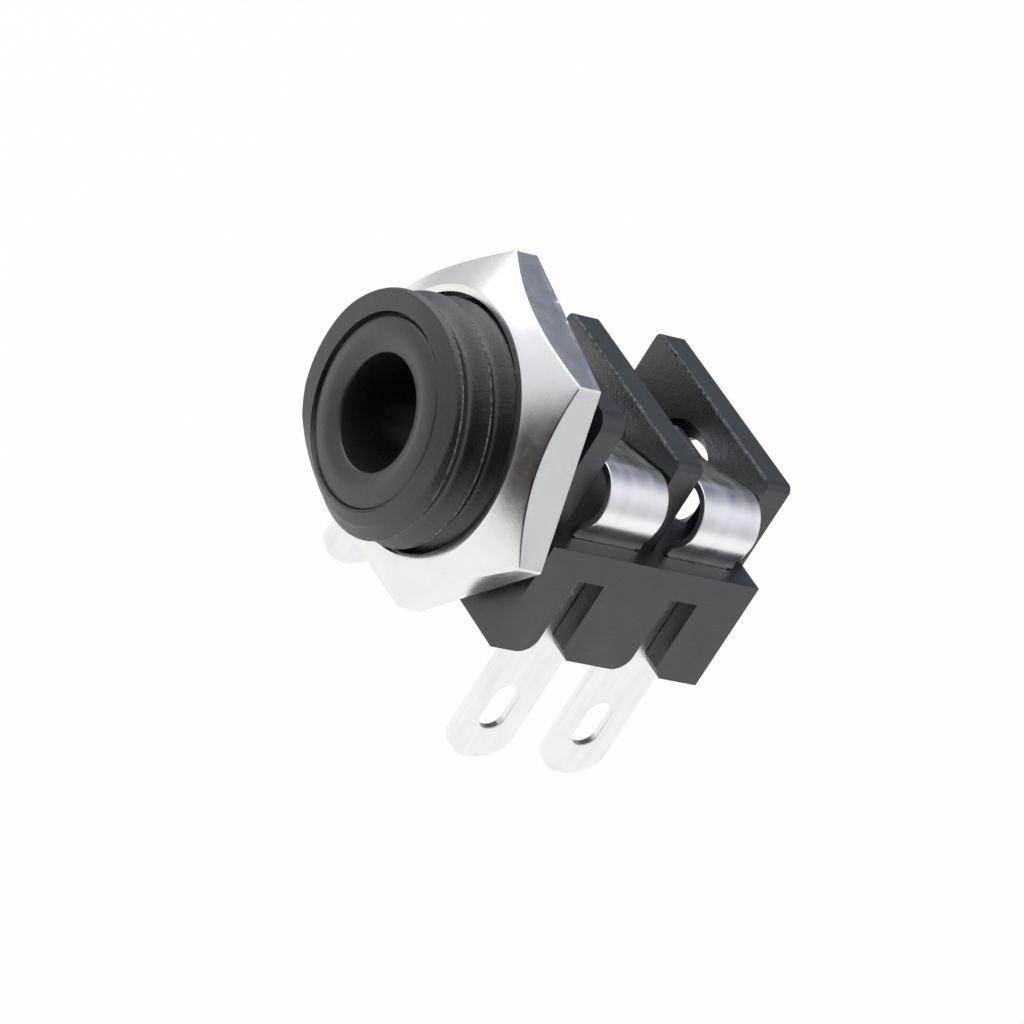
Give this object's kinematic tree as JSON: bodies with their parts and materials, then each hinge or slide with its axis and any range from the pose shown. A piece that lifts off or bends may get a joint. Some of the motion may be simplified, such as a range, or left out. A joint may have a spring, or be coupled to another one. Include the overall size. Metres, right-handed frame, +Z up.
{
  "type": "mini jack socket",
  "caption": "Panel socket for a small round audio plug: moulded threaded bush and open frame, hexagon nut, folded spring contacts with solder tags.",
  "frame": {"origin": "on the plug bore's axis, at the flange's front face, which meets the back of the panel", "axes": "-Y out of the bush, the way the plug leaves; +Z up, away from the solder tags; +X towards the side with two contacts"},
  "size_m": [0.0118, 0.0127, 0.014],
  "materials": {
    "moulded_plastic": "satin black moulded plastic",
    "nickel_nut": "bright nickel plate on brass",
    "plated_strip": "tin plate on rolled copper alloy strip"
  },
  "bodies": {
    "socket": {"socket_body": "moulded_plastic"},
    "nut": {"hex_nut": "nickel_nut"},
    "ring_spring": {"ring_contact": "plated_strip"},
    "tip_spring": {"tip_contact": "plated_strip"},
    "sleeve_spring": {"sleeve_contact": "plated_strip"}
  },
  "joints": [
    {"name": "nut_travel", "type": "slide", "parent": "socket", "child": "nut", "axis": [0, -1, 0], "range_m": [-0.0004, 0.0046]},
    {"name": "ring_flex", "type": "hinge", "parent": "socket", "child": "ring_spring", "pos_m": [0.00415, 0.0024, -0.00014], "axis": [0, 1, 0], "range_deg": [0, 9], "stiffness_Nm_per_rad": 0.03, "deforming": ["ring_contact"]},
    {"name": "tip_flex", "type": "hinge", "parent": "socket", "child": "tip_spring", "pos_m": [0.00415, 0.0061, -0.00014], "axis": [0, 1, 0], "range_deg": [0, 9], "stiffness_Nm_per_rad": 0.03, "deforming": ["tip_contact"]},
    {"name": "sleeve_flex", "type": "hinge", "parent": "socket", "child": "sleeve_spring", "pos_m": [-0.0053, 0.0024, -0.0001], "axis": [0, -1, 0], "range_deg": [0, 4], "stiffness_Nm_per_rad": 0.03, "deforming": ["sleeve_contact"]}
  ]
}
